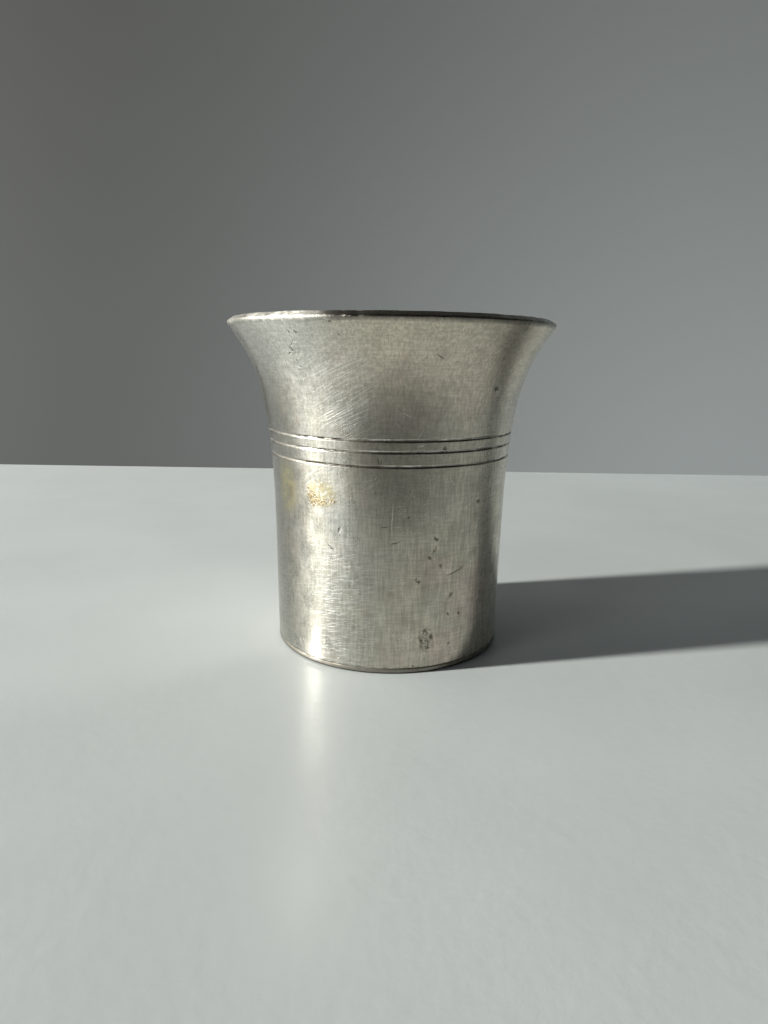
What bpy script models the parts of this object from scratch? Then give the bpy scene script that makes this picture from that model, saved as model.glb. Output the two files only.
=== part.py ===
"""Flared pewter measuring cup: a turned wall soldered onto a separate base disc.

Three turned pieces share one vertical axis:
  flared_wall   open tube, nearly straight below, flared above, with three grooves cut round it
  base_disc     round plate whose raised floor locates the wall, with a shallow recess underneath
  solder_fillet ring of solder run round the inside corner between the floor and the wall

Metres, +Z up. The origin is the centre of the foot, on the surface that the cup stands on.
Run with: blender --background --python part.py
"""

import math

import bpy
from mathutils import Vector

MM = 0.001

# Driving dimensions
CUP_HEIGHT = 80.0 * MM
FOOT_RADIUS = 28.75 * MM
LIP_RADIUS = 39.6 * MM
BODY_WALL = 1.6 * MM
LIP_WALL = 2.2 * MM

# Outer line of the wall: a slight taper up to BODY_TOP, then one Bezier curve out to the lip
BODY_TAPER = 0.0116
BODY_TOP = 30.0 * MM
FLARE_ANGLE = math.radians(33.0)
FLARE_START_PULL = 37.5 * MM
FLARE_END_PULL = 9.4 * MM

# Lip: its end face is square to the wall, and both of its corners are rounded.
# Rounding a corner takes ROUND_TRIM of the round's radius off the cup's width or height.
LIP_OUTER_ROUND = 0.45 * MM
LIP_INNER_ROUND = 0.75 * MM
ROUND_TRIM = math.sin(FLARE_ANGLE) + math.cos(FLARE_ANGLE) - 1.0
LIP_CORNER_RADIUS = LIP_RADIUS + LIP_OUTER_ROUND * ROUND_TRIM
LIP_CORNER_Z = CUP_HEIGHT - LIP_WALL * math.sin(FLARE_ANGLE) + LIP_INNER_ROUND * ROUND_TRIM

# Decorative and measuring grooves, cut into the outer line: their heights, width and depth
GROOVE_HEIGHTS = (48.4 * MM, 51.55 * MM, 54.05 * MM)
GROOVE_WIDTH = 0.62 * MM
GROOVE_FLOOR_WIDTH = 0.16 * MM
GROOVE_DEPTH = 0.32 * MM

# Base disc: the flange carries the wall, and the floor rises inside it
JOINT_GAP = 0.3 * MM
FLANGE_THICKNESS = 1.3 * MM
FLOOR_HEIGHT = 2.5 * MM
FOOT_CHAMFER = 0.4 * MM
RECESS_RADIUS = 23.5 * MM
RECESS_DEPTH = 0.5 * MM
RECESS_SLOPE = 0.6 * MM

# Solder fillet, a concave triangle with blunt tips
FILLET_LEG = 1.5 * MM
FILLET_TIP = 0.2 * MM

# Facets
SEGMENTS = 72
FLARE_STEPS = 14
ROUND_STEPS = 4
FILLET_STEPS = 5
BISECTION_STEPS = 40

MERGE_DISTANCE = 0.00001
SHARP_ANGLE = math.radians(35.0)

WALL_FOOT_Z = FLANGE_THICKNESS + JOINT_GAP


def body_radius(z):
    """Outer radius of the tapered body at height z."""
    return FOOT_RADIUS + BODY_TAPER * z


def flare_curve():
    """The four Bezier points of the flare, each as (radius, height)."""
    start = Vector((body_radius(BODY_TOP), BODY_TOP))
    end = Vector((LIP_CORNER_RADIUS, LIP_CORNER_Z))
    up_the_body = Vector((BODY_TAPER, 1.0)).normalized()
    out_to_lip = Vector((math.sin(FLARE_ANGLE), math.cos(FLARE_ANGLE)))
    return start, start + up_the_body * FLARE_START_PULL, end - out_to_lip * FLARE_END_PULL, end


def flare_point(u):
    """Point of the outer line at u, from 0 at the body to 1 at the lip."""
    a, b, c, d = flare_curve()
    v = 1.0 - u
    return a * v**3 + b * (3 * u * v**2) + c * (3 * u**2 * v) + d * u**3


def flare_inward(u):
    """Unit vector square to the outer line at u, pointing into the metal."""
    a, b, c, d = flare_curve()
    v = 1.0 - u
    along = ((b - a) * v**2 + (c - b) * (2 * u * v) + (d - c) * u**2).normalized()
    return Vector((-along.y, along.x))


def wall_thickness(u):
    """The wall thickens towards the lip."""
    return BODY_WALL + (LIP_WALL - BODY_WALL) * u**2


def outer_radius(z):
    """Outer radius of the wall at height z, before the grooves are cut."""
    if z <= BODY_TOP:
        return body_radius(z)
    low, high = 0.0, 1.0
    for _ in range(BISECTION_STEPS):
        middle = (low + high) / 2
        if flare_point(middle).y < z:
            low = middle
        else:
            high = middle
    return flare_point(low).x


def rounded_corner(before, corner, after, radius):
    """Points of an arc of this radius that rounds the corner of before-corner-after."""
    to_before = (before - corner).normalized()
    to_after = (after - corner).normalized()
    half = to_before.angle(to_after) / 2
    centre = corner + (to_before + to_after).normalized() * (radius / math.sin(half))
    first = corner + to_before * (radius / math.tan(half)) - centre
    last = corner + to_after * (radius / math.tan(half)) - centre
    sweep = first.angle(last)
    points = []
    for step in range(ROUND_STEPS + 1):
        share = step / ROUND_STEPS
        spoke = first * math.sin((1 - share) * sweep) + last * math.sin(share * sweep)
        points.append(centre + spoke / math.sin(sweep))
    return points


def outer_line():
    """Outer side of the wall below the lip, from top to bottom, with the grooves cut in."""
    flare = [flare_point(step / FLARE_STEPS) for step in range(FLARE_STEPS - 1, -1, -1)]
    points = [p for p in flare if all(abs(p.y - z) > GROOVE_WIDTH for z in GROOVE_HEIGHTS)]
    for z in GROOVE_HEIGHTS:
        for offset, depth in (
            (GROOVE_WIDTH / 2, 0.0),
            (GROOVE_FLOOR_WIDTH / 2, GROOVE_DEPTH),
            (-GROOVE_FLOOR_WIDTH / 2, GROOVE_DEPTH),
            (-GROOVE_WIDTH / 2, 0.0),
        ):
            points.append(Vector((outer_radius(z + offset) - depth, z + offset)))
    points.append(Vector((body_radius(WALL_FOOT_Z), WALL_FOOT_Z)))
    return sorted(points, key=lambda p: -p.y)


def inner_radius(z):
    """Inner radius of the straight part of the wall at height z."""
    return body_radius(z) - BODY_WALL


def inner_line():
    """Inner side of the wall below the lip, from bottom to top."""
    points = [Vector((inner_radius(WALL_FOOT_Z), WALL_FOOT_Z))]
    for step in range(FLARE_STEPS):
        u = step / FLARE_STEPS
        points.append(flare_point(u) + flare_inward(u) * wall_thickness(u))
    return points


def wall_profile():
    """Closed outline of the wall: down the outside, up the inside and round the lip."""
    outer, inner = outer_line(), inner_line()
    outer_corner = flare_point(1.0)
    inner_corner = outer_corner + flare_inward(1.0) * LIP_WALL
    over_the_lip = rounded_corner(inner[-1], inner_corner, outer_corner, LIP_INNER_ROUND)
    over_the_lip += rounded_corner(inner_corner, outer_corner, outer[0], LIP_OUTER_ROUND)
    return outer + inner + over_the_lip


def disc_profile():
    """Open outline of the base disc, from the axis on top to the axis underneath."""
    spigot_radius = inner_radius(FLOOR_HEIGHT) - JOINT_GAP
    return [
        Vector((0.0, FLOOR_HEIGHT)),
        Vector((spigot_radius, FLOOR_HEIGHT)),
        Vector((spigot_radius, FLANGE_THICKNESS)),
        Vector((FOOT_RADIUS, FLANGE_THICKNESS)),
        Vector((FOOT_RADIUS, FOOT_CHAMFER)),
        Vector((FOOT_RADIUS - FOOT_CHAMFER, 0.0)),
        Vector((RECESS_RADIUS, 0.0)),
        Vector((RECESS_RADIUS - RECESS_SLOPE, RECESS_DEPTH)),
        Vector((0.0, RECESS_DEPTH)),
    ]


def fillet_profile():
    """Closed outline of the solder fillet: down the wall side, in along the floor, up the hollow."""
    low = FLOOR_HEIGHT + JOINT_GAP
    high = low + FILLET_LEG
    back = inner_radius(low) - JOINT_GAP
    hollow_radius = FILLET_LEG - FILLET_TIP
    hollow_centre = Vector((back - FILLET_LEG, high))
    points = [Vector((back, high)), Vector((back, low)), Vector((back - FILLET_LEG, low))]
    for step in range(FILLET_STEPS + 1):
        angle = -math.pi / 2 * (1 - step / FILLET_STEPS)
        points.append(hollow_centre + Vector((math.cos(angle), math.sin(angle))) * hollow_radius)
    return points


def metal(name, colour, roughness):
    material = bpy.data.materials.new(name)
    material.use_nodes = True
    shader = material.node_tree.nodes["Principled BSDF"]
    shader.inputs["Base Color"].default_value = (*colour, 1.0)
    shader.inputs["Metallic"].default_value = 1.0
    shader.inputs["Roughness"].default_value = roughness
    return material


def turn(name, profile, closed, material, collection):
    """One turned piece: the profile's outline, swept round the Z axis by a Screw modifier."""
    count = len(profile)
    edges = [(i, i + 1) for i in range(count - 1)]
    if closed:
        edges.append((count - 1, 0))
    outline = bpy.data.meshes.new(name + "_outline")
    outline.from_pydata([(p.x, 0.0, p.y) for p in profile], edges, [])
    piece = bpy.data.objects.new(name, outline)
    collection.objects.link(piece)
    screw = piece.modifiers.new("Turn", "SCREW")
    screw.axis = "Z"
    screw.angle = 2 * math.pi
    screw.steps = SEGMENTS
    screw.render_steps = SEGMENTS
    screw.use_merge_vertices = True
    screw.merge_threshold = MERGE_DISTANCE

    graph = bpy.context.evaluated_depsgraph_get()
    turned = bpy.data.meshes.new_from_object(piece.evaluated_get(graph))
    turned.name = name
    piece.modifiers.clear()
    piece.data = turned
    bpy.data.meshes.remove(outline)
    turned.shade_smooth()
    turned.set_sharp_from_angle(angle=SHARP_ANGLE)
    turned.materials.append(material)
    return piece


def clear_scene():
    for obj in list(bpy.data.objects):
        bpy.data.objects.remove(obj)


def main():
    clear_scene()
    cup = bpy.data.collections.new("Flared measuring cup")
    bpy.context.scene.collection.children.link(cup)
    pewter = metal("Satin pewter", (0.56, 0.54, 0.48), 0.36)
    base_pewter = metal("Base pewter", (0.52, 0.50, 0.45), 0.42)
    solder = metal("Soft solder", (0.47, 0.47, 0.46), 0.48)
    turn("flared_wall", wall_profile(), True, pewter, cup)
    turn("base_disc", disc_profile(), False, base_pewter, cup)
    turn("solder_fillet", fillet_profile(), True, solder, cup)


main()
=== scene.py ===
"""Looks of the flared pewter measuring cup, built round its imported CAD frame.

The CAD solids give the sizes. Three finely meshed pieces stand for them: the wall with its worn grooves,
nicks and dents, the base disc with its turning marks, and the run of solder in the inside corner.

Metres, +Z up. Angles round the cup are counted from its front (-Y) towards +X.
"""

import math

import bpy
import numpy as np
from mathutils import Matrix, Vector


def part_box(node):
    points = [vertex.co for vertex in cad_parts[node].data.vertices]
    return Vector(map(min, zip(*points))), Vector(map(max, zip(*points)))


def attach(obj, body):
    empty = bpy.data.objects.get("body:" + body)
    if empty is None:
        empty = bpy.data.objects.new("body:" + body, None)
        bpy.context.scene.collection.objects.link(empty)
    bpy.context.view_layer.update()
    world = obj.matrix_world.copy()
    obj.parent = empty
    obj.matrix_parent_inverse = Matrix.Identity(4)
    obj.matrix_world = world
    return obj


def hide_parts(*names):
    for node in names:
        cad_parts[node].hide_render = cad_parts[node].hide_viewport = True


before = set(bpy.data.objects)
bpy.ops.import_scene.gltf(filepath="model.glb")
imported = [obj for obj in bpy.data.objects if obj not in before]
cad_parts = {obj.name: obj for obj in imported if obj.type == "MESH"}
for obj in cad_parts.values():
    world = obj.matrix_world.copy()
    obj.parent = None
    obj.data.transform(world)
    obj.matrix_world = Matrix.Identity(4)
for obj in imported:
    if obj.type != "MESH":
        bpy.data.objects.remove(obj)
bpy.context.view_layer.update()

MM = 0.001

# ---------------------------------------------------------------- sizes, from the frame where it has them

wall_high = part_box("flared_wall")[1]
disc_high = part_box("base_disc")[1]
solder_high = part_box("solder_fillet")[1]

CUP_HEIGHT = wall_high.z
LIP_RADIUS = wall_high.x
FOOT_RADIUS = disc_high.x
FLOOR_HEIGHT = disc_high.z
SOLDER_TOP = solder_high.z
BODY_WALL = 1.6 * MM
LIP_WALL = 2.2 * MM

# The wall's outer line, as in the CAD: a slight taper, then one Bezier curve out to the lip
BODY_TAPER = 0.0116
BODY_TOP = 30.0 * MM
FLARE_ANGLE = math.radians(33.0)
FLARE_START_PULL = 37.5 * MM
FLARE_END_PULL = 9.4 * MM
LIP_OUTER_ROUND = 0.45 * MM
LIP_INNER_ROUND = 0.75 * MM
LIP_DROP = LIP_WALL * math.sin(FLARE_ANGLE)
ROUND_TRIM = math.sin(FLARE_ANGLE) + math.cos(FLARE_ANGLE) - 1.0

# At the lip the wall is this much thicker than the CAD's, on its inner side. The power keeps that close
# to the lip.
LIP_SWELL = 0.35 * MM
LIP_SWELL_POWER = 9

# Base disc
FLANGE_TOP = 1.3 * MM
SEAM = 0.05 * MM
SEAM_ROUND = 0.10 * MM
FOOT_CHAMFER = 0.4 * MM
RECESS_RADIUS = 23.5 * MM
RECESS_DEPTH = 0.5 * MM
RECESS_SLOPE = 0.6 * MM
AXIS_RING = 0.4 * MM

# Grooves round the wall. The power rounds their floors, and a groove's wander reaches out this many zones.
GROOVE_HEIGHTS = (48.4 * MM, 51.55 * MM, 54.05 * MM)
GROOVE_HALF_WIDTH = 0.33 * MM
GROOVE_DEPTH = 0.29 * MM
GROOVE_ZONE = 0.62 * MM
GROOVE_WANDER = 0.035 * MM
GROOVE_UNEVEN = 0.16
GROOVE_POWER = 0.85
WANDER_REACH = 1.6

# Unevenness of the hand-finished metal. RIPPLE_WAVES slanted waves add up to each kind of it.
RIPPLE_WAVES = 24
HAND_WAVE = 0.07 * MM
QUIET_FOOT = 6.0 * MM
FINE_WAVE = 0.012 * MM
LIP_WEAR = 0.025 * MM
TURNING_PITCH = 1.1 * MM
TURNING_DEPTH = 0.02 * MM
TURNING_DRIFT = 1.5
TURNING_UNEVEN = 0.3
FLOOR_SAG = 0.12 * MM
FLOOR_WAVE = 0.03 * MM
PIP_RADIUS = 1.2 * MM
PIP_DEPTH = 0.3 * MM
SOLDER_HOLLOW = 0.75
SOLDER_LUMPS_UP = 0.10
SOLDER_LUMPS_IN = 0.13
SOLDER_LUMPS_FACE = 0.06

# Stray dents all over the wall: how many, and the ranges of their level, size and depth
STRAY_DENTS = 46
STRAY_LEVEL = (4.0, 76.0)
STRAY_SIZE = (0.7, 2.6)
STRAY_DEPTH = (0.01, 0.035)
STRAY_SHAPE = (0.5, 1.5)

# How finely the pieces are meshed
WALL_SEGMENTS = 400
DISC_SEGMENTS = 288
SOLDER_SEGMENTS = 240
SOLDER_ROWS = 10
FLARE_POINTS = 600
CORNER_LEAD = 9
OUTER_ROUND_STEPS = 6
INNER_ROUND_STEPS = 8
CHAMFER_ROWS = 6
ROW_STEP = 0.62 * MM
GROOVE_ROW_STEP = 0.09 * MM
INNER_ROW_STEP = 2.2 * MM
DISC_ROW_STEP = 0.28 * MM


# ---------------------------------------------------------------- camera, floor, backdrop and light

# Camera: in front of the cup, with its lens and sensor width in millimetres
CAMERA_DISTANCE = 173.5 * MM
CAMERA_HEIGHT = 71.1 * MM
CAMERA_PITCH = math.radians(-12.74)
CAMERA_TURN = math.radians(0.41)
CAMERA_ROLL = math.radians(0.79)
CAMERA_LENS = 23.9
CAMERA_SENSOR = 36.0
CAMERA_NEAR = 0.01
CAMERA_FAR = 20.0

# Stage: the floor reaches this far each way, and ends behind the cup at the foot of the backdrop
FLOOR_REACH = 4.0
BACKDROP_DISTANCE = 0.265
BACKDROP_HEIGHT = 3.0
FLAG_LEFT, FLAG_RIGHT = -0.2, 0.14
FLAG_FAR, FLAG_NEAR = -1.6, -0.175
FLAG_HEIGHT = 1.0 * MM

TABLE_SHADE, TABLE_LIGHT = (0.575, 0.620, 0.625), (0.610, 0.655, 0.660)
# The backdrop's painted shade and painted light
BACKDROP_PAINTED_SHADE, BACKDROP_PAINTED_LIGHT = (0.050, 0.051, 0.050), (0.335, 0.362, 0.374)
CARD_DARK, CARD_LIGHT = (0.02, 0.018, 0.016), (0.03, 0.026, 0.022)

# Floor: glossy in front of the cup, and dull to its left, where the key light comes from
GLOSSY_FLOOR, DULL_FLOOR = 0.34, 0.80
GLOSSY_UP_TO, DULL_FROM = math.radians(-48.0), math.radians(-66.0)

# Lights: angles in degrees, distances and sizes in metres, power in watts
WARM_WHITE, COOL_WHITE = (1.0, 0.98, 0.925), (0.95, 0.98, 1.0)
KEY_LIGHT = dict(azimuth=-77.0, elevation=17.0, distance=5.0, size=0.33, power=575.0, colour=WARM_WHITE)
WINDOW_LIGHT = dict(azimuth=-52.0, elevation=14.0, distance=2.5, size=1.0, power=9.5, colour=COOL_WHITE)
SKY_COLOUR = (0.86, 0.93, 1.0)
SKY_STRENGTH = 0.015


def place_camera():
    """The camera stands close in front of the cup, a little below its rim, and looks slightly down."""
    data = bpy.data.cameras.new("camera")
    data.lens = CAMERA_LENS
    data.sensor_width = CAMERA_SENSOR
    data.clip_start = CAMERA_NEAR
    data.clip_end = CAMERA_FAR
    camera = bpy.data.objects.new("camera", data)
    turned = Matrix.Rotation(CAMERA_TURN, 4, "Z")
    pitched = Matrix.Rotation(math.pi / 2 + CAMERA_PITCH, 4, "X")
    rolled = Matrix.Rotation(CAMERA_ROLL, 4, "Z")
    stand = Matrix.Translation((0.0, -CAMERA_DISTANCE, CAMERA_HEIGHT))
    camera.matrix_world = stand @ (turned @ pitched @ rolled)
    bpy.context.scene.collection.objects.link(camera)
    bpy.context.scene.camera = camera


place_camera()


class Graph:
    """A material's node tree. Each call adds a node and returns its output; inputs are sockets or values."""

    def __init__(self, name):
        self.material = bpy.data.materials.new(name)
        self.material.use_nodes = True
        self.tree = self.material.node_tree
        self.shader = self.tree.nodes["Principled BSDF"]

    def node(self, kind, **settings):
        made = self.tree.nodes.new("ShaderNode" + kind)
        for key, value in settings.items():
            setattr(made, key, value)
        return made

    def feed(self, socket, value):
        if isinstance(value, bpy.types.NodeSocket):
            self.tree.links.new(value, socket)
        else:
            socket.default_value = value

    def math(self, operation, *values):
        made = self.node("Math", operation=operation)
        for socket, value in zip(made.inputs, values):
            self.feed(socket, value)
        return made.outputs[0]

    def add(self, *values):
        total = values[0]
        for value in values[1:]:
            total = self.math("ADD", total, value)
        return total

    def times(self, *values):
        product = values[0]
        for value in values[1:]:
            product = self.math("MULTIPLY", product, value)
        return product

    def ramp(self, value, start, end, low=0.0, high=1.0):
        """Goes smoothly from low to high as value goes from start to end."""
        made = self.node("MapRange", interpolation_type="SMOOTHSTEP")
        for socket, number in zip(made.inputs, (value, start, end, low, high)):
            self.feed(socket, number)
        return made.outputs[0]

    def near(self, value, centre, half_width, soft):
        """1 within half_width of centre, and 0 from soft further out."""
        away = self.math("ABSOLUTE", self.math("SUBTRACT", value, centre))
        return self.ramp(away, half_width, half_width + soft, 1.0, 0.0)

    def vector(self, x, y, z):
        made = self.node("CombineXYZ")
        for socket, value in zip(made.inputs, (x, y, z)):
            self.feed(socket, value)
        return made.outputs[0]

    def noise(self, vector, scale=1.0, detail=2.0, roughness=0.5):
        made = self.node("TexNoise")
        self.feed(made.inputs["Vector"], vector)
        made.inputs["Scale"].default_value = scale
        made.inputs["Detail"].default_value = detail
        made.inputs["Roughness"].default_value = roughness
        return made.outputs[0]

    def cells(self, vector, scale):
        """Distance from the nearest of many scattered points."""
        made = self.node("TexVoronoi")
        self.feed(made.inputs["Vector"], vector)
        made.inputs["Scale"].default_value = scale
        return made.outputs["Distance"]

    def blend(self, share, first, second):
        """A colour between first and second."""
        made = self.node("Mix", data_type="RGBA")
        for index, value in ((0, share), (6, first), (7, second)):
            if isinstance(value, tuple):
                value = (*value, 1.0)
            self.feed(made.inputs[index], value)
        return made.outputs[2]

    def bump(self, height, distance):
        made = self.node("Bump")
        made.inputs["Strength"].default_value = 1.0
        made.inputs["Distance"].default_value = distance
        self.feed(made.inputs["Height"], height)
        return made.outputs[0]

    def place(self):
        """Object coordinates in millimetres: their vector, then x, y and z."""
        scaled = self.node("VectorMath", operation="SCALE")
        self.feed(scaled.inputs[0], self.node("TexCoord").outputs["Object"])
        scaled.inputs["Scale"].default_value = 1.0 / MM
        parts = self.node("SeparateXYZ")
        self.feed(parts.inputs[0], scaled.outputs[0])
        return scaled.outputs[0], parts.outputs[0], parts.outputs[1], parts.outputs[2]


def floor_material():
    g = Graph("pale table")
    where, x, y, z = g.place()
    tone = g.ramp(g.noise(where, 0.02, 4.0), 0.3, 0.7)
    g.feed(g.shader.inputs["Base Color"], g.blend(tone, TABLE_SHADE, TABLE_LIGHT))
    azimuth = g.math("ARCTAN2", x, g.times(y, -1.0))
    dull = g.ramp(azimuth, GLOSSY_UP_TO, DULL_FROM, GLOSSY_FLOOR, DULL_FLOOR)
    smudges = g.ramp(g.noise(where, 0.05, 5.0), 0.3, 0.7, -0.02, 0.04)
    g.feed(g.shader.inputs["Roughness"], g.add(dull, smudges))
    g.feed(g.shader.inputs["Normal"], g.bump(g.noise(where, 0.35, 3.0), 0.00004))
    return g.material


def backdrop_material():
    """Painted light and shade: paler towards the right and low down, and dark above the camera's view, where
    the lip mirrors it.
    """
    g = Graph("grey backdrop")
    where, x, y, z = g.place()
    low_down = g.ramp(z, 330.0, 0.0)
    in_view = g.ramp(z, 420.0, 280.0)
    rightward = g.ramp(x, -220.0, 260.0)
    tone = g.add(
        g.times(rightward, g.math("MULTIPLY_ADD", low_down, 0.4, 0.45), in_view),
        g.times(low_down, 0.12),
        g.times(g.noise(where, 0.01, 3.0), 0.03),
    )
    g.feed(g.shader.inputs["Base Color"], g.blend(tone, BACKDROP_PAINTED_SHADE, BACKDROP_PAINTED_LIGHT))
    g.shader.inputs["Roughness"].default_value = 0.8
    return g.material


def flat_sheet(name, corners, material):
    mesh = bpy.data.meshes.new(name)
    mesh.from_pydata(corners, [], [tuple(range(len(corners)))])
    mesh.materials.append(material)
    sheet = bpy.data.objects.new(name, mesh)
    bpy.context.scene.collection.objects.link(sheet)
    return sheet


def area_light(name, azimuth, elevation, distance, size, power, colour):
    """A round light aimed at the cup. Azimuth counts from the front towards +X."""
    a, e = math.radians(azimuth), math.radians(elevation)
    away = Vector((math.sin(a) * math.cos(e), -math.cos(a) * math.cos(e), math.sin(e)))
    data = bpy.data.lights.new(name, "AREA")
    data.shape = "DISK"
    data.size = size
    data.energy = power
    data.color = colour
    light = bpy.data.objects.new(name, data)
    light.location = Vector((0.0, 0.0, CUP_HEIGHT / 2)) + away * distance
    light.rotation_mode = "QUATERNION"
    light.rotation_quaternion = away.to_track_quat("Z", "Y")
    bpy.context.scene.collection.objects.link(light)


def flag_material():
    g = Graph("dark card")
    where = g.place()[0]
    g.feed(g.shader.inputs["Base Color"], g.blend(g.noise(where, 0.01), CARD_DARK, CARD_LIGHT))
    g.shader.inputs["Roughness"].default_value = 0.9
    return g.material


def build_stage():
    """Floor, backdrop, lights, and a dark card in front of the cup that only its reflections show."""
    reach, back, tall = FLOOR_REACH, BACKDROP_DISTANCE, BACKDROP_HEIGHT
    flat_sheet(
        "floor",
        [(-reach, -reach, 0.0), (reach, -reach, 0.0), (reach, back, 0.0), (-reach, back, 0.0)],
        floor_material(),
    )
    flat_sheet(
        "backdrop",
        [(-reach, back, 0.0), (reach, back, 0.0), (reach, back, tall), (-reach, back, tall)],
        backdrop_material(),
    )
    flag = flat_sheet(
        "dark_flag",
        [
            (FLAG_LEFT, FLAG_FAR, FLAG_HEIGHT),
            (FLAG_RIGHT, FLAG_FAR, FLAG_HEIGHT),
            (FLAG_RIGHT, FLAG_NEAR, FLAG_HEIGHT),
            (FLAG_LEFT, FLAG_NEAR, FLAG_HEIGHT),
        ],
        flag_material(),
    )
    flag.visible_camera = False
    flag.visible_diffuse = False
    flag.visible_shadow = False
    area_light("key", **KEY_LIGHT)
    area_light("window", **WINDOW_LIGHT)
    world = bpy.data.worlds.new("studio")
    world.use_nodes = True
    background = world.node_tree.nodes["Background"]
    background.inputs["Color"].default_value = (*SKY_COLOUR, 1.0)
    background.inputs["Strength"].default_value = SKY_STRENGTH
    bpy.context.scene.world = world
    bpy.context.scene.view_settings.view_transform = "Standard"


# ---------------------------------------------------------------- turned meshes


def angles(segments):
    """The angle of each segment, counted from the front towards +X."""
    return np.arange(segments) * (2 * math.pi / segments) - math.pi


def ripple(angle, along, seed, wave, turns):
    """Smooth unevenness of about -1 to 1 that closes round the cup: a sum of slanted waves.

    turns is the most waves that go round the cup, and wave the shortest one along the outline.
    """
    random = np.random.default_rng(seed)
    total = 0.0
    for _ in range(RIPPLE_WAVES):
        around = random.integers(0, turns + 1)
        upward = random.uniform(-1.0, 1.0) * 2 * math.pi / wave
        total = total + np.cos(around * angle + upward * along + random.uniform(0, 2 * math.pi))
    return total / math.sqrt(RIPPLE_WAVES)


def turned_piece(name, radius, height, closed, node, material):
    """A turned piece from grids of radius and height: a row for each point of its outline, which runs up
    the outside. An open outline starts and ends on the axis, where its end rows close to a point."""
    rows, segments = radius.shape
    angle = angles(segments)
    grid = np.stack([radius * np.sin(angle), -radius * np.cos(angle), height], axis=2)
    points = grid.reshape(-1, 3).tolist()
    row, column = np.meshgrid(np.arange(rows if closed else rows - 1), np.arange(segments), indexing="ij")
    here = row * segments + column
    beside = row * segments + (column + 1) % segments
    above = ((row + 1) % rows) * segments
    quads = np.stack([here, beside, above + beside % segments, above + column], axis=2).reshape(-1, 4)
    faces = quads.tolist()
    if not closed:
        for ring, turn in ((0, 1), (rows - 1, -1)):
            centre = len(points)
            points.append((0.0, 0.0, float(height[ring].mean())))
            first = ring * segments
            for corner in range(segments):
                faces.append((first + corner, centre, first + (corner + 1) % segments)[::turn])
    mesh = bpy.data.meshes.new(name)
    mesh.from_pydata(points, [], faces)
    mesh.materials.append(material)
    mesh.shade_smooth()
    piece = bpy.data.objects.new(name, mesh)
    bpy.context.scene.collection.objects.link(piece)
    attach(piece, "root")
    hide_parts(node)
    return piece


def spread(start, end, step):
    """Evenly spaced values from start up to, but not including, end, no further apart than step."""
    return list(np.linspace(start, end, math.ceil(abs(end - start) / step) + 1))[:-1]


def rounded(before, corner, after, radius, steps):
    """Points of an arc that rounds the corner of before-corner-after. All points are (radius, height)."""
    before, corner, after = np.array(before), np.array(corner), np.array(after)
    to_before = (before - corner) / np.linalg.norm(before - corner)
    to_after = (after - corner) / np.linalg.norm(after - corner)
    half = math.acos(float(to_before @ to_after)) / 2
    middle = to_before + to_after
    centre = corner + middle / np.linalg.norm(middle) * radius / math.sin(half)
    first = corner + to_before * radius / math.tan(half) - centre
    last = corner + to_after * radius / math.tan(half) - centre
    sweep = math.pi - 2 * half
    shares = np.linspace(0.0, 1.0, steps + 1)
    spokes = [first * math.sin((1 - s) * sweep) + last * math.sin(s * sweep) for s in shares]
    return [centre + spoke / math.sin(sweep) for spoke in spokes]


# ---------------------------------------------------------------- the flared wall


def body_radius(z):
    return FOOT_RADIUS + BODY_TAPER * z


def flare(u):
    """Points of the outer line at u, from 0 at the body to 1 at the lip, and the inward direction there."""
    u = np.asarray(u)[:, None]
    start = np.array([body_radius(BODY_TOP), BODY_TOP])
    end_height = CUP_HEIGHT - LIP_DROP + LIP_INNER_ROUND * ROUND_TRIM
    end = np.array([LIP_RADIUS + LIP_OUTER_ROUND * ROUND_TRIM, end_height])
    up_the_body = np.array([BODY_TAPER, 1.0]) / math.hypot(BODY_TAPER, 1.0)
    out_to_lip = np.array([math.sin(FLARE_ANGLE), math.cos(FLARE_ANGLE)])
    b, c = start + up_the_body * FLARE_START_PULL, end - out_to_lip * FLARE_END_PULL
    v = 1.0 - u
    point = start * v**3 + b * 3 * u * v**2 + c * 3 * u**2 * v + end * u**3
    along = (b - start) * v**2 + (c - b) * 2 * u * v + (end - c) * u**2
    along = along / np.linalg.norm(along, axis=1, keepdims=True)
    return point, np.stack([-along[:, 1], along[:, 0]], axis=1)


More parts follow.
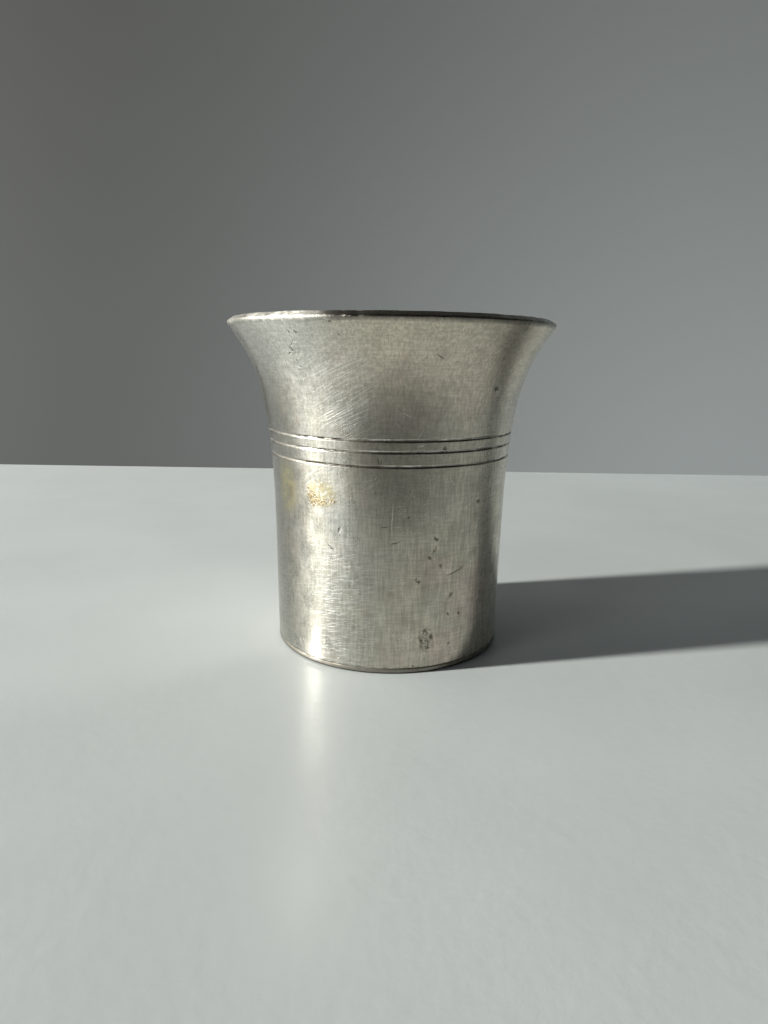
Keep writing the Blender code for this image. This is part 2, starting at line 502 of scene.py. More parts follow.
def wall_outline():
    """Rows of (radius, height), and for each its part of the wall: 0 outside, 1 lip, 2 inside, 3 foot."""
    fine = np.linspace(0.0, 1.0, FLARE_POINTS)
    line, inward = flare(fine)
    thickness = BODY_WALL + (LIP_WALL - BODY_WALL) * fine**2 + LIP_SWELL * fine**LIP_SWELL_POWER
    inner_line = line + inward * thickness[:, None]
    outer_corner, inner_corner = line[-1], inner_line[-1]

    foot = FLANGE_TOP + SEAM
    heights = [foot + SEAM_ROUND, foot + 2 * SEAM_ROUND]
    edges = [foot + 4 * SEAM_ROUND]
    for groove in GROOVE_HEIGHTS:
        edges += [groove - GROOVE_ZONE, groove + GROOVE_ZONE]
    edges.append(outer_corner[1] - LIP_OUTER_ROUND)
    for index, (low, high) in enumerate(zip(edges, edges[1:])):
        heights += spread(low, high, ROW_STEP if index % 2 == 0 else GROOVE_ROW_STEP)
    outside = []
    for z in heights:
        flared = np.interp(z, line[:, 1], line[:, 0])
        outside.append((flared if z > BODY_TOP else body_radius(z), z))

    lip = rounded(line[-CORNER_LEAD], outer_corner, inner_corner, LIP_OUTER_ROUND, OUTER_ROUND_STEPS)
    over = rounded(outer_corner, inner_corner, inner_line[-CORNER_LEAD], LIP_INNER_ROUND, INNER_ROUND_STEPS)
    lip += [lip[-1] + (over[0] - lip[-1]) * share for share in (0.2, 0.4, 0.6, 0.8)] + over

    inside = []
    toe_top = foot + SEAM_ROUND
    for z in spread(over[-1][1] - INNER_ROW_STEP / 2, toe_top, INNER_ROW_STEP) + [toe_top]:
        straight = body_radius(z) - BODY_WALL
        flared = np.interp(z, inner_line[:, 1], inner_line[:, 0])
        inside.append((flared if z > inner_line[0][1] else straight, z))
    toe = body_radius(foot) - BODY_WALL
    bottom = [(toe + SEAM_ROUND, foot)]
    bottom += [(toe + share * BODY_WALL, foot) for share in (0.35, 0.65)]
    bottom.append((body_radius(foot) - SEAM_ROUND, foot))
    parts = [0] * len(outside) + [1] * len(lip) + [2] * len(inside) + [3] * len(bottom)
    return np.array(outside + [tuple(p) for p in lip] + inside + bottom), np.array(parts)


def wrapped(angle, centre):
    """Degrees from centre (degrees) to angle (radians), the short way round."""
    return (np.degrees(angle) - centre + 180.0) % 360.0 - 180.0


def dent(angle, height, radius, centre, level, across, tall, tilt=0.0):
    """A hollow of depth 1 at an angle (degrees) and level, with its half sizes, tilted from the level."""
    along = np.radians(wrapped(angle, centre)) * radius
    up = height - level
    turn = math.radians(tilt)
    p = (along * math.cos(turn) + up * math.sin(turn)) / across
    q = (up * math.cos(turn) - along * math.sin(turn)) / tall
    return np.exp(-(p**2 + q**2))


def build_wall(material):
    """The wall with its hand-worked unevenness, dents, worn lip and wandering grooves."""
    outline, parts = wall_outline()
    angle = angles(WALL_SEGMENTS)[None, :]
    radius = np.repeat(outline[:, :1], WALL_SEGMENTS, axis=1)
    height = np.repeat(outline[:, 1:], WALL_SEGMENTS, axis=1)
    along = np.concatenate([[0.0], np.cumsum(np.linalg.norm(np.diff(outline, axis=0), axis=1))])[:, None]
    outside = (parts == 0)[:, None].astype(float)
    inside = (parts == 2)[:, None].astype(float)
    lip = (parts == 1)[:, None].astype(float)

    # The outline's outward direction, which every unevenness follows
    step = np.roll(outline, -1, axis=0) - np.roll(outline, 1, axis=0)
    step = step / np.linalg.norm(step, axis=1, keepdims=True)
    out_r, out_z = step[:, 1:2], -step[:, 0:1]

    # Long, shallow unevenness from hand work, the same inside and outside, and a finer one on each side
    quiet_foot = np.clip((height - FLANGE_TOP) / QUIET_FOOT, 0.0, 1.0)
    bow = HAND_WAVE * ripple(angle, height, seed=3, wave=38 * MM, turns=4) * quiet_foot
    swell = outside * FINE_WAVE * ripple(angle, along, seed=8, wave=9 * MM, turns=16)
    swell += inside * FINE_WAVE * ripple(angle, along, seed=9, wave=9 * MM, turns=14)
    swell += lip * LIP_WEAR * ripple(angle, along, seed=21, wave=3 * MM, turns=60)

    for centre, level, across, tall, tilt, depth in DENTS:
        hollow = dent(angle, height, radius, centre, level * MM, across * MM, tall * MM, tilt)
        swell = swell - (outside + lip) * depth * MM * hollow
    random = np.random.default_rng(17)
    for _ in range(STRAY_DENTS):
        centre, level = random.uniform(-180, 180), random.uniform(*STRAY_LEVEL) * MM
        size, depth = random.uniform(*STRAY_SIZE) * MM, random.uniform(*STRAY_DEPTH) * MM
        hollow = dent(angle, height, radius, centre, level, size, size * random.uniform(*STRAY_SHAPE))
        swell = swell - outside * depth * hollow
    for centre, width, depth in LIP_NICKS:
        spread_out = np.exp(-((wrapped(angle, centre) / width) ** 2))
        swell = swell - lip * depth * MM * spread_out

    # Grooves: each wanders a little, and its rows wander with it
    for index, groove in enumerate(GROOVE_HEIGHTS):
        wander = GROOVE_WANDER * ripple(angle, 0.0, seed=30 + index, wave=1.0, turns=14)
        offset = height - groove
        near = np.clip(WANDER_REACH - np.abs(offset) / GROOVE_ZONE, 0.0, 1.0)
        height = height + outside * near * wander
        depth = GROOVE_DEPTH * (1.0 + GROOVE_UNEVEN * ripple(angle, 0.0, seed=40 + index, wave=1.0, turns=48))
        cut = np.clip(1.0 - np.abs(offset) / GROOVE_HALF_WIDTH, 0.0, 1.0)
        swell = swell - outside * depth * cut**GROOVE_POWER

    radius = radius + bow + swell * out_r
    height = height + swell * out_z
    wall = turned_piece("turned_wall", radius, height, True, "flared_wall", material)
    side = wall.data.attributes.new("inside", "FLOAT", "POINT")
    side.data.foreach_set("value", np.repeat((parts == 2).astype(np.float32), WALL_SEGMENTS))
    end = wall.data.attributes.new("lip", "FLOAT", "POINT")
    end.data.foreach_set("value", np.repeat((parts == 1).astype(np.float32), WALL_SEGMENTS))
    return wall


# ---------------------------------------------------------------- base disc and solder


def build_disc(material):
    """The disc with its recess and turning rings underneath, and its turned floor on top."""
    spigot = body_radius(FLOOR_HEIGHT) - BODY_WALL - SEAM
    edge_top = FLANGE_TOP - SEAM_ROUND
    recess_edge = RECESS_RADIUS - RECESS_SLOPE
    rows = [(r, RECESS_DEPTH) for r in spread(AXIS_RING, recess_edge, DISC_ROW_STEP)]
    rows += [(recess_edge, RECESS_DEPTH), (RECESS_RADIUS - RECESS_SLOPE / 2, RECESS_DEPTH / 2)]
    rows += [(r, 0.0) for r in spread(RECESS_RADIUS, FOOT_RADIUS - FOOT_CHAMFER, DISC_ROW_STEP)]
    for share in np.linspace(0.0, 1.0, CHAMFER_ROWS):
        turn = share * math.pi / 2
        rows.append((
            FOOT_RADIUS - FOOT_CHAMFER * (1.0 - math.sin(turn)),
            FOOT_CHAMFER * (1.0 - math.cos(turn)),
        ))
    rows += [(FOOT_RADIUS, FOOT_CHAMFER + (edge_top - FOOT_CHAMFER) * share) for share in (0.33, 0.66, 1.0)]
    rows += [(FOOT_RADIUS - SEAM_ROUND, FLANGE_TOP), (spigot + SEAM_ROUND, FLANGE_TOP)]
    rows += [(spigot, FLANGE_TOP + SEAM_ROUND), (spigot, FLOOR_HEIGHT - SEAM_ROUND)]
    rows += [(r, FLOOR_HEIGHT) for r in spread(spigot - SEAM_ROUND, AXIS_RING, DISC_ROW_STEP)]
    rows.append((AXIS_RING, FLOOR_HEIGHT))

    outline = np.array(rows)
    angle = angles(DISC_SEGMENTS)[None, :]
    radius = np.repeat(outline[:, :1], DISC_SEGMENTS, axis=1)
    height = np.repeat(outline[:, 1:], DISC_SEGMENTS, axis=1)
    on_top = (outline[:, 1:] >= FLOOR_HEIGHT - SEAM_ROUND / 2).astype(float)
    in_recess = ((outline[:, 1:] == RECESS_DEPTH) & (outline[:, :1] < RECESS_RADIUS)).astype(float)

    # Turning rings: their pitch drifts with the feed of the tool, and hand pressure makes them uneven
    drift = TURNING_DRIFT * ripple(0.0, radius, seed=51, wave=9 * MM, turns=0)
    ring = np.cos(2 * math.pi * radius / TURNING_PITCH + drift)
    uneven = 1.0 - TURNING_UNEVEN * (1.0 - ripple(angle, radius, seed=52, wave=12 * MM, turns=5))
    sag = 1.0 - (radius / spigot) ** 2
    height = height + on_top * (TURNING_DEPTH * ring * uneven - FLOOR_SAG * sag)
    height = height + in_recess * (TURNING_DEPTH * ring * uneven + FLOOR_SAG * sag)
    height = height + on_top * FLOOR_WAVE * ripple(angle, radius, seed=53, wave=14 * MM, turns=4)
    pip = np.exp(-((radius / PIP_RADIUS) ** 2)) * PIP_DEPTH
    height = height - on_top * pip + in_recess * pip
    above_table = (outline[:, 1:] > 0.0) & (outline[:, 1:] < FLANGE_TOP)
    rim = (outline[:, :1] > FOOT_RADIUS - FOOT_CHAMFER) & above_table
    radius = radius - rim * FINE_WAVE * (1.0 + ripple(angle, height, seed=54, wave=2 * MM, turns=40))
    return turned_piece("turned_base", radius, height, False, "base_disc", material)


def build_solder(material):
    """A run of solder in the inside corner: a hollow face, lumpy where the iron stopped and started."""
    angle = angles(SOLDER_SEGMENTS)[None, :]
    back = body_radius(FLOOR_HEIGHT) - BODY_WALL - SEAM
    low = FLOOR_HEIGHT + SEAM
    leg = SOLDER_TOP - low
    lump = ripple(angle, 0.0, seed=61, wave=1.0, turns=30)
    up_leg = leg * (1.0 + SOLDER_LUMPS_UP * lump)
    in_leg = leg * (1.0 + SOLDER_LUMPS_IN * ripple(angle, 0.0, seed=62, wave=1.0, turns=36))
    rows_r, rows_z = [], []
    for share in np.linspace(0.0, 1.0, SOLDER_ROWS):
        # From the toe on the floor, up the hollow face, to the top on the wall
        turn = share * math.pi / 2
        hollow = SOLDER_HOLLOW + SOLDER_LUMPS_FACE * lump * math.sin(2 * turn)
        straight_r, straight_z = 1.0 - share, share
        arc_r, arc_z = 1.0 - math.sin(turn), 1.0 - math.cos(turn)
        rows_r.append(back - in_leg * (straight_r + (arc_r - straight_r) * hollow))
        rows_z.append(low + up_leg * (straight_z + (arc_z - straight_z) * hollow))
    rows_r += [np.full_like(angle, back), np.full_like(angle, back)]
    rows_z += [low + up_leg * 0.5, np.full_like(angle, low)]
    rows_r += [back - in_leg * 0.5]
    rows_z += [np.full_like(angle, low)]
    radius, height = np.concatenate(rows_r[::-1]), np.concatenate(rows_z[::-1])
    return turned_piece("solder_run", radius, height, True, "solder_fillet", material)


# ---------------------------------------------------------------- marks of use on the wall

# Angle from the front (degrees) and level (mm), half width and half height (mm), tilt (degrees), depth (mm)
DENTS = (
    (-22.0, 33.5, 0.8, 1.4, 20.0, 0.05),
    (-27.5, 29.5, 2.2, 0.7, -30.0, 0.05),
    (16.5, 71.5, 0.9, 0.45, -33.0, 0.10),
    (45.5, 65.0, 0.8, 0.7, 0.0, 0.08),
    (21.0, 29.5, 0.9, 1.1, 0.0, 0.06),
    (30.0, 18.4, 0.7, 0.6, 0.0, 0.07),
    (32.0, 23.6, 2.3, 0.5, 12.0, 0.06),
    (18.3, 8.6, 1.5, 2.0, 10.0, 0.06),
    (21.0, 8.0, 0.6, 1.2, 0.0, 0.08),
    (23.2, 52.6, 0.6, 0.6, 0.0, 0.07),
    (-33.0, 74.0, 0.9, 3.4, 15.0, 0.04),
    (29.0, 43.0, 7.0, 9.0, 0.0, 0.06),
    (-8.0, 62.0, 9.0, 8.0, 0.0, 0.05),
    (118.0, 24.0, 2.6, 1.1, 35.0, 0.10),
    (-131.0, 61.0, 1.6, 2.8, 10.0, 0.09),
    (172.0, 14.0, 3.4, 2.2, 0.0, 0.08),
)

# Angle (degrees), half width (degrees) and depth (mm) of the nicks in the lip
LIP_NICKS = (
    (-14.6, 0.45, 0.16),
    (-9.4, 0.7, 0.18),
    (2.4, 0.4, 0.10),
    (-41.0, 1.2, 0.05),
    (38.0, 1.6, 0.05),
    (96.0, 0.8, 0.14),
    (151.0, 1.4, 0.08),
    (-118.0, 0.9, 0.12),
)

# Angle (degrees), level and size (mm) of dark pits
PITS = (
    (45.5, 64.9, 1.2),
    (8.8, 37.2, 0.55),
    (23.2, 52.3, 0.7),
    (29.0, 13.7, 0.6),
    (35.0, 13.3, 0.45),
    (30.2, 6.3, 0.45),
    (30.2, 18.4, 0.7),
    (24.2, 25.6, 0.7),
    (18.6, 27.8, 0.8),
    (13.8, 22.3, 0.7),
    (12.5, 22.8, 0.5),
    (17.8, 10.4, 0.8),
    (20.8, 8.6, 0.9),
    (15.8, 8.0, 0.6),
    (19.2, 6.0, 0.5),
    (17.5, 3.4, 0.4),
    (12.5, 1.7, 0.5),
    (21.5, 32.0, 0.9),
    (44.0, 39.5, 0.9),
    (-23.0, 3.2, 0.4),
    (-33.5, 76.1, 0.36),
    (-30.9, 76.0, 0.52),
    (-32.8, 74.3, 0.34),
    (-34.5, 73.6, 0.42),
    (-35.8, 73.1, 0.36),
    (-35.2, 72.6, 0.46),
    (-36.8, 72.0, 0.36),
    (-34.8, 70.5, 0.36),
    (-34.0, 69.2, 0.32),
    (-18.0, 77.9, 0.46),
    (-16.0, 75.5, 0.38),
)

# Angle (degrees), level (mm), tilt (degrees), length and width (mm) of single scratches
BRIGHT_SCRATCHES = (
    (28.0, 45.0, -58.0, 1.9, 0.22),
    (29.2, 44.4, 65.0, 1.0, 0.18),
    (1.5, 36.5, 88.0, 7.0, 0.17),
    (-21.5, 33.7, 70.0, 1.2, 0.22),
    (10.0, 15.6, 0.0, 3.0, 0.20),
    (2.0, 20.4, 3.0, 1.6, 0.20),
    (6.5, 59.6, -30.0, 1.8, 0.20),
    (13.0, 53.0, 25.0, 1.8, 0.22),
    (-46.2, 4.3, 100.0, 1.6, 0.28),
    (-43.8, 4.7, 110.0, 1.4, 0.22),
    (4.0, 35.0, 0.0, 2.0, 0.20),
)
DARK_SCRATCHES = (
    (16.5, 71.6, -33.0, 1.6, 0.30),
    (-22.2, 33.7, 75.0, 1.5, 0.30),
    (-26.5, 29.4, -40.0, 2.2, 0.30),
    (32.0, 23.7, 14.0, 4.6, 0.30),
    (35.4, 24.6, 30.0, 1.6, 0.22),
    (-1.5, 35.1, 2.0, 1.8, 0.25),
    (3.0, 31.4, 18.0, 2.0, 0.25),
    (21.0, 29.4, 60.0, 1.6, 0.30),
    (-4.5, 49.8, 100.0, 1.6, 0.30),
    (-3.3, 49.6, 80.0, 1.2, 0.25),
)

# Tilt (degrees), length and width (mm) of the fine scratches in each set, and how rare they are
RUBBED_LINES = (
    (27.0, 7.0, 0.24, 0.56),
    (36.0, 5.0, 0.30, 0.60),
)
POLISHED_LINES = (
    (4.0, 5.0, 0.28, 0.57),
    (15.0, 4.0, 0.26, 0.60),
)
STRAY_LINES = (
    (62.0, 6.0, 0.24, 0.68),
    (-41.0, 5.0, 0.22, 0.69),
    (12.0, 7.0, 0.22, 0.69),
)
SCUFF_LINES = (
    (20.0, 6.0, 0.22, 0.62),
    (-55.0, 5.0, 0.20, 0.64),
    (82.0, 7.0, 0.24, 0.63),
)
LINE_SOFTNESS = 0.10

# Angle (degrees), level, length and width (mm), and for some the tilt (degrees), of patches and stains
ROSY_PATCHES = (
    (28.0, 5.5, 9.0, 9.0),
    (41.0, 17.0, 11.0, 13.0),
    (22.0, 24.0, 8.0, 7.0),
    (8.0, 66.0, 13.0, 15.0),
    (33.0, 66.0, 8.0, 14.0),
)
RUBBED_FRONT = (-18.0, 64.0, 13.0, 19.0)
RUBBED_BELOW = (-24.0, 43.0, 20.0, 10.0)
RUBBED_BACK = (152.0, 50.0, 26.0, 20.0)
RUBBED_SIDE = (-121.0, 35.0, 24.0, 22.0)
POLISHED_PATCHES = (
    (-20.0, 15.0, 15.0, 30.0),
    (102.0, 30.0, 18.0, 32.0),
)
# Painted reflection: dark patches where the front and the left side mirror dark surroundings
NECK_DARK_REFLECTION = (6.0, 51.0, 17.0, 26.0)
SIDE_DARK_REFLECTION = (-58.0, 42.0, 17.0, 60.0)
SHIELD_STAIN = (18.2, 8.0, 3.6, 5.2)
SPECK_TRAIL = (-33.0, 73.0, 2.6, 11.0, -10.0)
LACQUER_STAIN = (-31.0, 41.5, 7.6, 5.8)
OLIVE_STAIN = (-54.0, 41.4, 6.0, 9.5)
CRUST_LEFT = (-35.6, 40.2, 2.9, 3.8, 15.0)
CRUST_BELOW = (-29.6, 39.7, 6.2, 1.5, 6.0)
CRUST_IN_OLIVE = (-50.5, 40.8, 1.7, 3.0)
CRUST_SPECK = (-38.2, 42.5, 0.5, 0.5)

# Length and width of a pit for its size, and how much each pit is turned against the one before (degrees)
PIT_LENGTH, PIT_WIDTH = 1.3, 0.75
PIT_TURN = 40.0

# Mean radius of the body, in mm, with which the wall is laid flat for its marks
UNROLL_RADIUS = 29.0


def unrolled(g, x, y, z):
    """The wall laid flat, in mm: the distance round it from the front, and the height."""
    around = g.math("ARCTAN2", x, g.times(y, -1.0))
    return g.vector(g.times(around, UNROLL_RADIUS), z, 0.0)


def spot(g, sheet, angle, level, length, width, tilt=0.0, soft=0.35, others=0.0):
    """1 inside an ellipse on the unrolled wall, fading outside it to 0, or to the mask of other spots."""
    centre = Vector((math.radians(angle) * UNROLL_RADIUS, level))
    turn = math.radians(tilt)
    squares = 0.0
    for along, half in (
        (Vector((math.cos(turn), math.sin(turn))), length / 2),
        (Vector((-math.sin(turn), math.cos(turn))), width / 2),
    ):
        dot = g.node("VectorMath", operation="DOT_PRODUCT")
        g.feed(dot.inputs[0], sheet)
        dot.inputs[1].default_value = (*along / half, 0.0)
        away = g.math("SUBTRACT", dot.outputs["Value"], centre @ along / half)
        squares = g.math("MULTIPLY_ADD", away, away, squares)
    return g.ramp(squares, (1.0 - soft) ** 2, (1.0 + soft) ** 2, 1.0, others)


def hairlines(g, sheet, tilt, length, width, rarity):
    """Many fine parallel scratches on a flat sheet. A higher rarity leaves fewer of them."""
    made = g.node("Mapping", vector_type="TEXTURE")
    g.feed(made.inputs["Vector"], sheet)
    made.inputs["Rotation"].default_value = (0.0, 0.0, math.radians(tilt))
    made.inputs["Scale"].default_value = (length, width, 1.0)
    return g.ramp(g.noise(made.outputs[0], 1.0, 1.0), rarity, rarity + LINE_SOFTNESS)


def deepest(g, masks):
    """The highest of several masks at each place."""
    total = masks[0]
    for mask in masks[1:]:
        total = g.math("MAXIMUM", total, mask)
    return total


def line_sets(g, sheet, sets):
    """Several sets of fine scratches together."""
    return deepest(g, [hairlines(g, sheet, *lines) for lines in sets])


def by_grooves(g, z, above, half_width, soft):
    """1 within half_width of a line this far above the middle of a groove, for any of the grooves."""
    return deepest(g, [g.near(z, height / MM + above, half_width, soft) for height in GROOVE_HEIGHTS])


def wobbled(g, vector, scale, amount):
    """The vector, shifted a little this way and that, so that what it places gets ragged edges."""
    made = g.node("TexNoise")
    g.feed(made.inputs["Vector"], vector)
    made.inputs["Scale"].default_value = scale
    made.inputs["Detail"].default_value = 2.0
    centred = g.node("VectorMath", operation="SUBTRACT")
    g.feed(centred.inputs[0], made.outputs["Color"])
    centred.inputs[1].default_value = (0.5, 0.5, 0.5)
    scaled = g.node("VectorMath", operation="SCALE")
    g.feed(scaled.inputs[0], centred.outputs[0])
    scaled.inputs["Scale"].default_value = amount
    moved = g.node("VectorMath", operation="ADD")
    g.feed(moved.inputs[0], vector)
    g.feed(moved.inputs[1], scaled.outputs[0])
    return moved.outputs[0]


# ---------------------------------------------------------------- materials

GREY_PEWTER = (0.53, 0.53, 0.495)
KHAKI_PEWTER = (0.65, 0.61, 0.50)
LIT_SIDE_KHAKI = (0.84, 0.79, 0.67)
ROSY_PEWTER = (0.79, 0.67, 0.585)
# Tarnish colour, also used for painted shade
TARNISH_AND_SHADE = (0.20, 0.185, 0.155)
RIM_TARNISH_AND_SHADE = (0.13, 0.12, 0.105)
GRIME_AND_SHADE = (0.035, 0.027, 0.018)
OLD_LACQUER = (0.265, 0.24, 0.152)
OLIVE_FILM = (0.46, 0.415, 0.245)
LACQUER_CRUST = (0.20, 0.135, 0.055)
BARE_EDGE = (0.66, 0.65, 0.61)
FRESH_SCRATCH = (0.92, 0.91, 0.87)
MIRRORED_FLOOR_TAN = (0.80, 0.71, 0.57)
PALE_SHEEN = (0.82, 0.81, 0.75)
SOLDER_DARK = (0.38, 0.38, 0.37)
SOLDER_LIGHT = (0.50, 0.50, 0.485)
FLUX = (0.16, 0.12, 0.07)

# The wall's roughness, and its turned grain: how strong it is, and its direction as a share of a full turn
WALL_ROUGHNESS = 0.30
TURNED_GRAIN = 0.5
ROUND_THE_CUP = 0.25

# How far each pattern raises the metal, in mm; those below 0 cut into it
UPRIGHT_RELIEF = 0.014
LEVEL_RELIEF = 0.010
GRIT_RELIEF = 0.011
BLOTCH_RELIEF = 0.010
RUBBED_RELIEF = -0.010
POLISHED_RELIEF = -0.012
STRAY_RELIEF = -0.007
DARK_SCRATCH_RELIEF = -0.022
BRIGHT_SCRATCH_RELIEF = -0.018
PIT_RELIEF = -0.05
PITTED_RELIEF = -0.028
LACQUER_RELIEF = 0.01
CRUST_RELIEF = 0.02
LIP_RELIEF = 0.10
RING_RELIEF = 0.014
DISC_GRIT_RELIEF = 0.008
DISC_BLOTCH_RELIEF = 0.012
SCUFF_RELIEF = -0.006
SOLDER_GRIT_RELIEF = 0.02
SOLDER_CLOUD_RELIEF = 0.06


class WallGraph(Graph):
    """The wall's node tree, with the coordinates, sides and cloudy patterns that its masks share."""

    def __init__(self, name):
        super().__init__(name)
        self.where, self.x, self.y, self.z = self.place()
        self.sheet = unrolled(self, self.x, self.y, self.z)
        self.ragged = wobbled(self, self.sheet, 1.8, 0.55)
        self.jagged = wobbled(self, self.sheet, 2.6, 1.0)
        self.inside = self.node("Attribute", attribute_name="inside").outputs["Fac"]
        self.outside = self.math("SUBTRACT", 1.0, self.inside)
        self.lip = self.node("Attribute", attribute_name="lip").outputs["Fac"]
        self.clouds = self.noise(self.where, 0.085, 4.0, 0.6)
        self.blotches = self.noise(self.where, 0.23, 5.0, 0.6)
        self.grit = self.noise(self.where, 1.7, 3.0)
        self.upright = self.grain(2.0, 0.20)
        self.level = self.grain(0.24, 2.3)

    def grain(self, around, upward):
        """Noise that is stretched by its two scales, one for x and y and the other for the height."""
        x, y, z = self.times(self.x, around), self.times(self.y, around), self.times(self.z, upward)
        return self.noise(self.vector(x, y, z), 1.0, 3.0, 0.65)


def wall_patches(g):
    """Rosy patches, patches rubbed on a slant, patches polished nearly level, and dark patches of painted
    shade where the wall mirrors dark surroundings.
    """
    rosy = deepest(g, [
        *(spot(g, g.ragged, *patch, soft=0.6) for patch in ROSY_PATCHES),
        g.times(g.ramp(g.noise(g.where, 0.12, 3.0), 0.60, 0.72), 0.6),
    ])
    rubbed = deepest(g, [
        spot(g, g.sheet, *RUBBED_FRONT, soft=0.5),
        g.times(spot(g, g.sheet, *RUBBED_BELOW, soft=0.5), 0.5),
        spot(g, g.sheet, *RUBBED_BACK, soft=0.5),
        spot(g, g.sheet, *RUBBED_SIDE, soft=0.5),
    ])
    polished = deepest(g, [spot(g, g.sheet, *patch, soft=0.5) for patch in POLISHED_PATCHES])
    painted_dark_reflection = deepest(g, [
        spot(g, g.ragged, *NECK_DARK_REFLECTION, soft=0.7),
        spot(g, g.ragged, *SIDE_DARK_REFLECTION, soft=0.6),
    ])
    return rosy, rubbed, polished, painted_dark_reflection


def single_scratches(g, table):
    """Scratches that stand alone on the outside, each where its row of the table has it."""
    mask = 0.0
    for angle, level, tilt, length, width in table:
        mask = spot(g, g.ragged, angle, level, length, width, tilt, others=mask)
    return g.times(g.outside, mask)


def pits_and_specks(g):
    """Pits, each turned its own way, and finer ones: a stain near the foot, a scatter and a trail."""
    pits = 0.0
    for index, (angle, level, size) in enumerate(PITS):
        length, width = PIT_LENGTH * size, PIT_WIDTH * size
        pits = spot(g, g.jagged, angle, level, length, width, index * PIT_TURN, soft=0.5, others=pits)
    pits = g.times(g.outside, pits)
    shield = g.times(
        spot(g, g.ragged, *SHIELD_STAIN, soft=0.3),
        g.ramp(g.noise(g.where, 1.5, 2.0), 0.44, 0.62),
    )
    scatter = g.times(
        g.ramp(g.cells(g.where, 0.55), 0.04, 0.14, 1.0, 0.0),
        g.ramp(g.noise(g.where, 0.16, 2.0), 0.56, 0.64),
    )
    trail = g.times(
        spot(g, g.jagged, *SPECK_TRAIL, soft=0.7),
        g.ramp(g.noise(g.where, 1.7, 3.0, 0.6), 0.51, 0.60),
    )
    pitted = g.times(g.outside, deepest(g, [shield, g.times(scatter, 0.45), g.times(trail, 0.45)]))
    return pits, pitted


def groove_marks(g):
    """Grime and painted shade in the grooves, their rough lit cuts on the left, and upper edges made bright
    further right, partly wear and partly a painted reflection of the floor.

    On the left the grime clings to the grooves' upper sides. Further right the dark lies on their lower
    sides, painted shade where they face up and mirror the dark above.
    """
    dark_line_level = g.math("SUBTRACT", g.z, g.ramp(g.x, -14.0, -4.0, 0.13, -0.14))
    in_groove = by_grooves(g, dark_line_level, 0.0, 0.08, 0.12)
    clinging = g.times(g.ramp(g.noise(g.where, 0.30, 3.0), 0.40, 0.58, 0.25, 0.85), g.ramp(g.x, -25.0, -19.0))
    upper_side = by_grooves(g, g.z, 0.10, 0.14, 0.08)
    dirt = g.times(
        upper_side,
        g.ramp(g.x, -23.0, -19.0),
        g.ramp(g.x, -7.0, -12.0),
        g.ramp(g.noise(g.where, 0.5, 3.0), 0.36, 0.54),
    )
    # Grime, and painted shade where the grooves' lower sides mirror the dark above
    groove_grime_and_shade = g.times(deepest(g, [g.times(in_groove, clinging), dirt]), g.outside)
    lit_cut = g.times(by_grooves(g, g.z, 0.0, 0.22, 0.12), g.ramp(g.x, -16.0, -23.0), g.outside)
    above_groove = by_grooves(g, g.z, 0.22, 0.10, 0.08)
    worn = g.times(g.ramp(g.noise(g.where, 0.5, 3.0), 0.34, 0.56, 0.35, 1.0), g.ramp(g.x, -17.0, -9.0))
    wear_and_sheen_edge = g.times(above_groove, worn, g.outside)
    return groove_grime_and_shade, lit_cut, wear_and_sheen_edge


def seam_dirt_and_lip_band(g):
    """Grime in the seam at the foot, and a thin dark band just under the lip, stronger on the left."""
    seam = g.times(g.ramp(g.z, 1.45, 1.9, 1.0, 0.0), g.ramp(g.noise(g.where, 0.8, 2.0), 0.42, 0.58))
    under_lip = g.times(
        g.ramp(g.z, 77.9, 78.4),
        g.ramp(g.noise(g.where, 0.6, 4.0), 0.36, 0.52),
        g.ramp(g.x, -6.0, -14.0, 0.3, 1.0),
        g.outside,
    )
    return seam, under_lip


def old_stains(g):
    """Two old stains: one of lacquer with a brown crust along its edge, and a thin olive film beside it."""
    lacquer = g.times(g.outside, g.times(
        spot(g, g.ragged, *LACQUER_STAIN, soft=0.25),
        g.ramp(g.noise(g.where, 0.9, 4.0), 0.38, 0.52),
    ))
    film = g.times(
        spot(g, g.jagged, *OLIVE_STAIN, soft=0.7),
        g.ramp(g.noise(g.where, 0.6, 3.0), 0.32, 0.62, 0.25, 0.8),
    )
    crust = g.times(g.outside, deepest(g, [
        g.times(spot(g, g.jagged, *CRUST_LEFT), g.ramp(g.noise(g.where, 2.4, 2.0), 0.40, 0.60)),
        g.times(spot(g, g.jagged, *CRUST_BELOW), g.ramp(g.noise(g.where, 2.6, 2.0), 0.44, 0.62)),
        g.times(spot(g, g.jagged, *CRUST_IN_OLIVE), 0.35),
        spot(g, g.ragged, *CRUST_SPECK),
    ]))
    return lacquer, film, crust


def lip_shade_and_tarnish(g):
    """How dark the lip's end face is: bright at the front's left, painted shade at its right, and patchy
    tarnish at the back.
    """
    shaded_front = g.add(g.ramp(g.x, -16.0, -9.0, 0.0, 0.68), g.ramp(g.x, 6.0, 26.0, 0.0, 0.18))
    patchy = g.ramp(g.noise(g.where, 0.13, 3.0), 0.38, 0.62, 0.25, 0.75)
    at_back = g.ramp(g.y, 2.0, 20.0)
    return g.add(shaded_front, g.times(at_back, g.math("SUBTRACT", patchy, shaded_front)))


